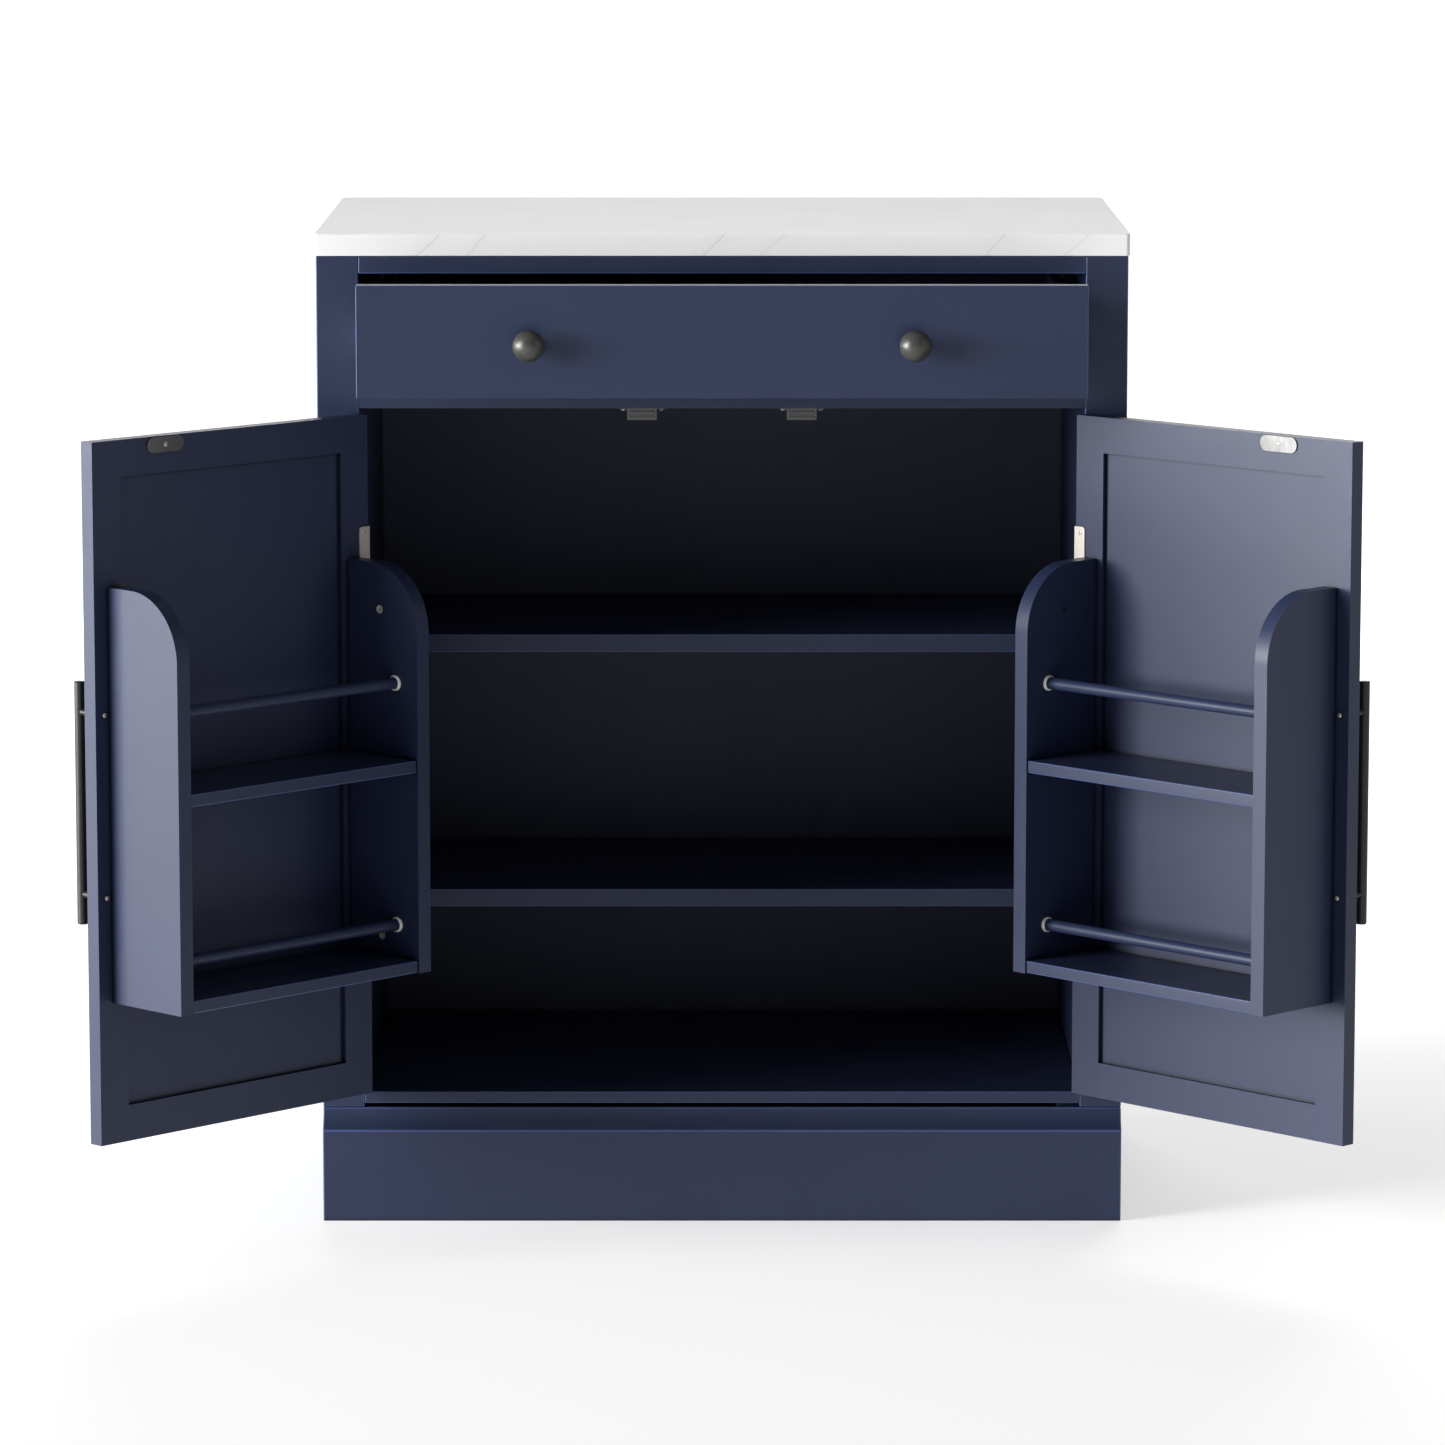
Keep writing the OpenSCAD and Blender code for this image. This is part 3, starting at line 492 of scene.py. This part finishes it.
def turned(profile, segments=48):
    """Mesh turned about +Z from (radius, height) points. A closed outline gives a ring."""
    bm = bmesh.new()
    rings = []
    for r, z in profile:
        if r < ON_AXIS:
            rings.append([bm.verts.new((0, 0, z))])
            continue
        angles = [2 * math.pi * i / segments for i in range(segments)]
        rings.append([bm.verts.new((r * math.cos(a), r * math.sin(a), z)) for a in angles])
    if len(rings[0]) > 1:
        rings.append(rings[0])
    for low, high in zip(rings, rings[1:]):
        for i in range(segments):
            j = (i + 1) % segments
            corners = [low[i % len(low)], low[j % len(low)], high[j % len(high)], high[i % len(high)]]
            bm.faces.new(list(dict.fromkeys(corners)))
    bmesh.ops.recalc_face_normals(bm, faces=bm.faces)
    mesh = bpy.data.meshes.new("turned")
    bm.to_mesh(mesh)
    bm.free()
    return mesh


def cross_prism(top, depth, reach, width):
    """Plus-shaped plug that narrows downwards, for cutting a cross recess."""
    outline = []
    for quarter in range(4):
        turn = Matrix.Rotation(quarter * math.pi / 2, 2)
        for corner in ((reach, -width / 2), (reach, width / 2), (width / 2, width / 2)):
            outline.append(turn @ Vector(corner))
    bm = bmesh.new()
    levels = []
    for z, scale in ((top - depth, 1 - CROSS_TAPER), (top + depth, 1 + CROSS_TAPER)):
        levels.append([bm.verts.new((p.x * scale, p.y * scale, z)) for p in outline])
    bm.faces.new(levels[0][::-1])
    bm.faces.new(levels[1])
    count = len(outline)
    for i in range(count):
        j = (i + 1) % count
        bm.faces.new((levels[0][i], levels[0][j], levels[1][j], levels[1][i]))
    bmesh.ops.recalc_face_normals(bm, faces=bm.faces)
    mesh = bpy.data.meshes.new("cross_prism")
    bm.to_mesh(mesh)
    bm.free()
    return mesh


def cut(mesh, cutter_mesh):
    """The first mesh with the second one cut out of it."""
    target = bpy.data.objects.new("cut_target", mesh)
    cutter = bpy.data.objects.new("cut_cutter", cutter_mesh)
    for obj in (target, cutter):
        bpy.context.scene.collection.objects.link(obj)
    boolean = target.modifiers.new("cut", "BOOLEAN")
    boolean.operation = "DIFFERENCE"
    boolean.solver = "EXACT"
    boolean.object = cutter
    bpy.context.view_layer.update()
    graph = bpy.context.evaluated_depsgraph_get()
    result = bpy.data.meshes.new_from_object(target.evaluated_get(graph))
    for obj in (target, cutter):
        bpy.data.objects.remove(obj)
    return result


SCREW_PITCH = 1.2 * MM
# Depth of a screw's thread and length of its tip, as shares of its shank's radius
SCREW_THREAD, SCREW_TIP = 0.22, 2.2
# Depth, reach and arm width of a screw's cross, as shares of its head's radius
SCREW_CROSS = (0.42, 0.52, 0.26)
# The same for a cam, as shares of its radius
CAM_CROSS = (0.45, 0.66, 0.30)


def screw_mesh(head_r, rim, dome, shank_r, length):
    """Cross-recessed screw along +Z: z = 0 under its head's rim, a dome on top, a threaded shank."""
    thread = SCREW_THREAD * shank_r
    tip = SCREW_TIP * shank_r
    shank = [(0, -length), (shank_r - thread, tip - length)]
    z = tip - length
    while z < -2 * SCREW_PITCH:
        shank += [(shank_r, z + SCREW_PITCH / 2), (shank_r - thread, z + SCREW_PITCH)]
        z += SCREW_PITCH
    ball = (head_r * head_r + dome * dome) / (2 * dome)
    edge = math.degrees(math.asin((ball - dome) / ball))
    head = arc(0, rim + dome - ball, ball, edge, 90, 8)
    profile = shank + [(shank_r, 0), (head_r, 0)] + head[:-1] + [(0, rim + dome)]
    recess = cross_prism(rim + dome, *(share * head_r for share in SCREW_CROSS))
    return cut(turned(profile, 40), recess)


def add_mesh(bm, mesh, matrix):
    """Adds a copy of a mesh, placed by a matrix."""
    count = len(bm.verts)
    bm.from_mesh(mesh)
    bm.verts.ensure_lookup_table()
    bmesh.ops.transform(bm, matrix=matrix, verts=bm.verts[count:])


def add_box(bm, low, high):
    """Adds a plain block, which the piece's bevel rounds."""
    block = bmesh.ops.create_cube(bm, size=1)["verts"]
    size = Vector(high) - Vector(low)
    middle = (Vector(high) + Vector(low)) / 2
    bmesh.ops.transform(bm, matrix=Matrix.Translation(middle) @ Matrix.Diagonal((*size, 1)), verts=block)


def finish_piece(name, bm, node, to_row=Matrix.Identity(4), edge=None):
    """Turns a bmesh into the piece that stands for a CAD node, with that node's finish and body."""
    bmesh.ops.transform(bm, matrix=to_row, verts=bm.verts)
    if to_row.determinant() < 0:
        bmesh.ops.reverse_faces(bm, faces=bm.faces)
    mesh = bpy.data.meshes.new(name)
    bm.to_mesh(mesh)
    bm.free()
    piece = bpy.data.objects.new(name, mesh)
    bpy.context.scene.collection.objects.link(piece)
    if edge:
        round_edges(piece, edge)
    smooth(piece)
    mesh.materials.append(material(slot_of[node], "up"))
    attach(piece, body_of[node])
    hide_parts(node)


FACING = {
    "+x": Matrix.Rotation(math.pi / 2, 4, "Y"),
    "-x": Matrix.Rotation(-math.pi / 2, 4, "Y"),
    "+y": Matrix.Rotation(-math.pi / 2, 4, "X"),
    "-y": Matrix.Rotation(math.pi / 2, 4, "X"),
    "+z": Matrix.Identity(4),
    "-z": Matrix.Rotation(math.pi, 4, "X"),
}
HEAD_RIM = 0.3 * MM
SHANK_SHARE = 0.55
# Turns each screw's cross by its place, so that no two crosses line up
SPIN_OVER_METRE = 900
made_screws = {}


def add_screw(bm, low, high, facing, dome):
    """Adds the screw that fills a CAD screw's box, its head at the end that it faces."""
    axis = "xyz".index(facing[1])
    sizes = [high[i] - low[i] for i in range(3)]
    head_r = sizes[(axis + 1) % 3] / 2
    length = sizes[axis] - HEAD_RIM
    key = tuple(round(v * 1e6) for v in (head_r, length, dome))
    if key not in made_screws:
        made_screws[key] = screw_mesh(head_r, HEAD_RIM, dome, head_r * SHANK_SHARE, length)
    place = (low + high) / 2
    outward = 1 if facing[0] == "+" else -1
    end = high[axis] if outward > 0 else low[axis]
    place[axis] = end - outward * HEAD_RIM
    spin = Matrix.Rotation(sum(place) * SPIN_OVER_METRE, 4, "Z")
    add_mesh(bm, made_screws[key], Matrix.Translation(place) @ FACING[facing] @ spin)


# ---------- screws, cams and rings of the doors ----------

MIRROR = Matrix.Scale(-1, 4, (1, 0, 0))
DOOR_T = 15 * MM
RING_WALL = 1.7 * MM
RING_INNER_ROUND = 0.4 * MM
# The lip's share of a ring's depth
RING_LIP = 0.5
CAM_TURN = math.radians(28)
# A cam's raised rim, and how deep its face, the groove along the rim and the flange lie below it
CAM_RIM = 0.5 * MM
CAM_FACE, CAM_GROOVE = 0.1 * MM, 0.25 * MM
CAM_FLANGE, CAM_STEP = 1.0 * MM, 1.2 * MM
# The radius of its drum, as a share of the disc's
CAM_DRUM = 0.92
BOLT_PITCH = 2.2 * MM
BOLT_LEAD = 0.6 * MM
BOLT_THREAD_END = 9 * MM
# A bolt's core and tip as shares of its radius and core, and its collar measured from the thread
BOLT_CORE, BOLT_TIP = 0.72, 0.8
BOLT_COLLAR = (0.4 * MM, 1.6 * MM)
BOLT_STEM = 2.0 * MM
BOLT_TIP_H = 1 * MM
# A rack fitting that reaches further than this towards the door is a bolt, the others are cams
CAM_MOST = 20 * MM
# Heights of the domes on the heads of the screws
HANDLE_DOME, LEAF_DOME = 0.9 * MM, 0.7 * MM
CATCH_DOME, LINING_DOME = 0.8 * MM, 0.5 * MM
KNOB_SCREW_DOME = 1.2 * MM


def side_frame(side):
    return DOOR if side == "left" else MIRROR @ DOOR


def door_screw_set(side):
    """Hinge and strike screws nearly flush, handle screws with taller pan heads."""
    node = f"{side}_door_screws"
    to_row = side_frame(side)
    bm = bmesh.new()
    for low, high in loose_parts(node, to_row.inverted()):
        through = high.y - low.y > DOOR_T
        add_screw(bm, low, high, "+y", HANDLE_DOME if through else LEAF_DOME)
    finish_piece(f"{side}_door_screw_set", bm, node, to_row)


def cam_mesh(radius, depth):
    """Cast cam: a disc with a raised rim and a cross recess, on a slightly narrower drum."""
    drum = radius * CAM_DRUM
    profile = [(0, -depth), (drum, -depth), (drum, -CAM_STEP), (radius, -CAM_FLANGE)]
    profile += arc(radius - CAM_RIM / 2, 0, CAM_RIM / 2, 0, 180, 6)
    profile += [(radius - CAM_RIM * 1.2, -CAM_GROOVE), (0, -CAM_FACE)]
    return cut(turned(profile, 56), cross_prism(-CAM_FACE, *(share * radius for share in CAM_CROSS)))


def bolt_mesh(radius, length):
    """Cam bolt along +Z: a plain stem, a collar and a coarse thread at its start."""
    core = radius * BOLT_CORE
    profile = [(0, 0), (core, BOLT_LEAD)]
    z = BOLT_LEAD
    while z < BOLT_THREAD_END:
        profile += [(radius, z + BOLT_PITCH / 2), (core, z + BOLT_PITCH)]
        z += BOLT_PITCH
    profile += [(radius, z + end) for end in BOLT_COLLAR]
    profile += [(core, z + BOLT_STEM), (core, length - BOLT_TIP_H), (core * BOLT_TIP, length), (0, length)]
    return turned(profile, 32)


def rack_cam_set(side):
    node = f"{side}_rack_fittings"
    to_row = side_frame(side)
    boxes = loose_parts(node, to_row.inverted())
    middle = sum((b[0].x + b[1].x) / 2 for b in boxes) / len(boxes)
    bm = bmesh.new()
    for low, high in boxes:
        center = (low + high) / 2
        size = high - low
        if size.y > CAM_MOST:
            bolt = bolt_mesh(size.x / 2, size.y)
            add_mesh(bm, bolt, Matrix.Translation((center.x, low.y, center.z)) @ FACING["+y"])
            continue
        inward = "+x" if center.x < middle else "-x"
        face = high.x if inward == "+x" else low.x
        turn = Matrix.Rotation(CAM_TURN, 4, "Z")
        place = Matrix.Translation((face, center.y, center.z)) @ FACING[inward] @ turn
        add_mesh(bm, cam_mesh(size.y / 2, size.x), place)
    finish_piece(f"{side}_rack_cam_set", bm, node, to_row)


def rack_ring_set(side):
    """Plated rings with a rounded lip round the ends of the retaining rails."""
    node = f"{side}_rack_ferrules"
    to_row = side_frame(side)
    boxes = loose_parts(node, to_row.inverted())
    middle = sum((b[0].x + b[1].x) / 2 for b in boxes) / len(boxes)
    bm = bmesh.new()
    for low, high in boxes:
        center = (low + high) / 2
        outer = (high.y - low.y) / 2
        depth = high.x - low.x
        inner = outer - RING_WALL
        lip = depth * RING_LIP
        profile = [(inner, 0), (outer, 0), (outer, depth - lip)]
        profile += arc(outer - lip, depth - lip, lip, 0, 90, 8)[1:]
        profile += arc(inner + RING_INNER_ROUND, depth - RING_INNER_ROUND, RING_INNER_ROUND, 90, 180, 5)
        inward = "+x" if center.x < middle else "-x"
        face = low.x if inward == "+x" else high.x
        place = Matrix.Translation((face, center.y, center.z)) @ FACING[inward]
        add_mesh(bm, turned(profile, 48), place)
    finish_piece(f"{side}_rack_ring_set", bm, node, to_row)


for side_name in ("left", "right"):
    door_screw_set(side_name)
    rack_cam_set(side_name)
    rack_ring_set(side_name)
bpy.data.objects["right_rack_cam_set"].data.materials[0] = material("rack_paint", "up")


# ---------- screws, catches and knobs of the case and the drawer ----------

def case_screw_set():
    bm = bmesh.new()
    for low, high in loose_parts("case_screws", Matrix.Identity(4)):
        size = high - low
        if size.z > size.x:
            add_screw(bm, low, high, "-z", CATCH_DOME)
        else:
            add_screw(bm, low, high, "+x" if low.x < 0 else "-x", LINING_DOME)
    finish_piece("case_screw_set", bm, "case_screws")


def knob_screw_set():
    bm = bmesh.new()
    for low, high in loose_parts("knob_screws", Matrix.Identity(4)):
        add_screw(bm, low, high, "+y", KNOB_SCREW_DOME)
    finish_piece("knob_screw_set", bm, "knob_screws")


KNOB_DOME_H = 12 * MM
KNOB_FOOT_R, KNOB_FOOT_ROUND = 7.3 * MM, 0.75 * MM
# Radius and height in millimetres of points along the waist, from the foot to the head
KNOB_WAIST = (
    (6.3, 2.1), (5.6, 3.2), (5.15, 4.8), (5.0, 6.6), (5.3, 8.4), (6.2, 10.0), (8.0, 11.5), (10.4, 12.7),
)
# How far inside the head's radius and below its rim the rounded edge is centred, and its radius
KNOB_EDGE_IN, KNOB_EDGE_DOWN, KNOB_EDGE_R = 1.35 * MM, 0.25 * MM, 1.3 * MM


def knob_mesh(radius, height):
    """Turned mushroom knob: round foot, slim waist and a domed head, flowing into each other."""
    rim_z = height - KNOB_DOME_H
    dome = (radius * radius + KNOB_DOME_H * KNOB_DOME_H) / (2 * KNOB_DOME_H)
    dome_z = height - dome
    rim = math.degrees(math.asin((rim_z - dome_z) / dome))
    profile = [(0, 0), (KNOB_FOOT_R, 0)]
    profile += arc(KNOB_FOOT_R, KNOB_FOOT_ROUND, KNOB_FOOT_ROUND, -90, 90, 8)[1:]
    profile += [(r * MM, z * MM) for r, z in KNOB_WAIST]
    profile += arc(radius - KNOB_EDGE_IN, rim_z - KNOB_EDGE_DOWN, KNOB_EDGE_R, -65, -5, 5)
    profile += arc(0, dome_z, dome, rim, 90, 22)[:-1]
    profile += [(0, height)]
    return turned(profile, 96)


def drawer_knob_pair():
    bm = bmesh.new()
    for low, high in loose_parts("drawer_knobs", Matrix.Identity(4)):
        center = (low + high) / 2
        size = high - low
        place = Matrix.Translation((center.x, high.y, center.z)) @ FACING["-y"]
        add_mesh(bm, knob_mesh(size.x / 2, size.y), place)
    finish_piece("drawer_knob_pair", bm, "drawer_knobs")


CATCH_WALL = 3 * MM
CATCH_EAR_T = 3.3 * MM
# Where a catch's ears start and end behind its front
CATCH_EAR_Y = (3 * MM, 17 * MM)
# Radius in millimetres of the catches' edges
CATCH_ROUND = 0.35


def catch_housing_pair():
    """Moulded housings: an open frame round the two pole plates, with a screw ear on each side."""
    plates = loose_parts("catch_plates", Matrix.Identity(4))
    bm = bmesh.new()
    for low, high in loose_parts("catch_bodies", Matrix.Identity(4)):
        mine = [p for p in plates if low.x < p[0].x < high.x]
        plate_w = mine[0][1].x - mine[0][0].x
        center = (low.x + high.x) / 2
        body_half = plate_w / 2 + CATCH_WALL
        ear_z = high.z - CATCH_EAR_T
        bars = sorted(z for p in mine for z in (p[0].z, p[1].z))
        edges = [low.z, *bars, high.z]
        for z0, z1 in zip(edges[::2], edges[1::2]):
            add_box(bm, (center - plate_w / 2, low.y, z0), (center + plate_w / 2, high.y, z1))
        for side in (-1, 1):
            near = center + side * plate_w / 2
            far = center + side * body_half
            add_box(bm, (min(near, far), low.y, low.z), (max(near, far), high.y, high.z))
            ear = sorted((far, low.x if side < 0 else high.x))
            ear_y = [low.y + y for y in CATCH_EAR_Y]
            add_box(bm, (ear[0], ear_y[0], ear_z), (ear[1], ear_y[1], high.z))
        back_y = mine[0][1].y
        for z0, z1 in zip(bars[::2], bars[1::2]):
            add_box(bm, (center - plate_w / 2, back_y, z0), (center + plate_w / 2, high.y, z1))
    finish_piece("catch_housing_pair", bm, "catch_bodies", edge=CATCH_ROUND)


case_screw_set()
knob_screw_set()
drawer_knob_pair()
catch_housing_pair()


# ---------- stage, lights and camera ----------

FLOOR_DARK, FLOOR_LIGHT = (0.80, 0.80, 0.80), (0.82, 0.82, 0.82)
FLOOR_CLOUDS = 1.5
FLOOR_SIZE = 160
FLOOR_GLOW = 0.46
BACKDROP_GLOW = 0.95
# Distances behind the object between which the floor turns into the backdrop
BACKDROP_FROM_TO = (0.8, 4.0)
# Half the width and depth of the floor that the plinth covers, which stays dark
PLINTH_HALF_W = 0.370
PLINTH_HALF_D = 0.235


def make_floor():
    """Wide white floor that glows more behind the object, where it is the backdrop."""
    bpy.ops.mesh.primitive_plane_add(size=FLOOR_SIZE, location=(0, 0, 0))
    floor = bpy.context.object
    floor.name = "studio_floor"
    mat, tree, shader = new_material("floor_white")
    vector = object_coords(tree)
    tone = noise(tree, vector, FLOOR_CLOUDS, detail=3.0)
    body = mix_colors(tree, tone, FLOOR_DARK, FLOOR_LIGHT)
    tree.links.new(body, shader.inputs["Base Color"])
    axes = tree.nodes.new("ShaderNodeSeparateXYZ")
    tree.links.new(vector, axes.inputs["Vector"])
    glow = remap(tree, axes.outputs["Y"], *BACKDROP_FROM_TO, FLOOR_GLOW, BACKDROP_GLOW)
    from_center = math_node(tree, "ABSOLUTE", axes.outputs["X"])
    past_side = math_node(tree, "SUBTRACT", from_center, PLINTH_HALF_W)
    from_middle = math_node(tree, "SUBTRACT", axes.outputs["Y"], PLINTH_HALF_D)
    past_end = math_node(tree, "SUBTRACT", math_node(tree, "ABSOLUTE", from_middle), PLINTH_HALF_D)
    outside = math_node(tree, "GREATER_THAN", math_node(tree, "MAXIMUM", past_side, past_end), 0.0)
    glow = math_node(tree, "MULTIPLY", glow, outside)
    shader.inputs["Roughness"].default_value = 0.9
    shader.inputs["Specular IOR Level"].default_value = 0.1
    shader.inputs["Emission Color"].default_value = (1, 1, 1, 1)
    tree.links.new(glow, shader.inputs["Emission Strength"])
    floor.data.materials.append(mat)


def area_light(name, place, aim, size, power):
    data = bpy.data.lights.new(name, "AREA")
    data.shape = "RECTANGLE"
    data.size, data.size_y = size
    data.energy = power
    light = bpy.data.objects.new(name, data)
    bpy.context.scene.collection.objects.link(light)
    light.location = place
    light.rotation_euler = (Vector(aim) - Vector(place)).to_track_quat("-Z", "Y").to_euler()
    light.visible_camera = False


LENS_MM = 165.38
CAMERA_PLACE = (0.0004, -6.1827, 1.4156)
CAMERA_DOWN = math.radians(8.626)
WORLD_GLOW = 0.1
WORLD_SEEN = 1.0


def make_camera():
    data = bpy.data.cameras.new("camera")
    data.sensor_width = 36
    data.lens = LENS_MM
    data.clip_end = 200
    camera = bpy.data.objects.new("camera", data)
    bpy.context.scene.collection.objects.link(camera)
    camera.location = CAMERA_PLACE
    camera.rotation_euler = (math.radians(90) - CAMERA_DOWN, 0, 0)
    bpy.context.scene.camera = camera


make_floor()
make_camera()
area_light("key_left", (-11.9, -5.3, 3.8), (0.3, -0.15, 0.6), (6.3, 6.3), 1720)
area_light("key_low", (-12.0, -2.8, 1.3), (0.4, -0.15, 0.4), (9.0, 2.4), 2250)
area_light("fill_right", (5.0, -2.0, 2.5), (0, -0.1, 0.6), (3.0, 3.0), 24)
area_light("fill_front", (0, -8.0, 3.2), (0, 0, 0.5), (6.0, 3.0), 20)
area_light("fill_top", (0, -0.6, 4.0), (0, 0, 0.6), (4.0, 3.0), 10)
area_light("back_high", (0.5, 5.0, 3.6), (0, 0.4, 0.6), (4.0, 2.0), 166)


def make_world():
    """Faint even light all round, which the camera sees as a pale backdrop past the floor."""
    world = bpy.data.worlds.new("studio")
    bpy.context.scene.world = world
    world.use_nodes = True
    tree = world.node_tree
    background = tree.nodes["Background"]
    background.inputs["Color"].default_value = (1, 1, 1, 1)
    path = tree.nodes.new("ShaderNodeLightPath")
    seen = remap(tree, path.outputs["Is Camera Ray"], 0.0, 1.0, WORLD_GLOW, WORLD_SEEN)
    tree.links.new(seen, background.inputs["Strength"])


make_world()
bpy.context.scene.view_settings.view_transform = "Standard"
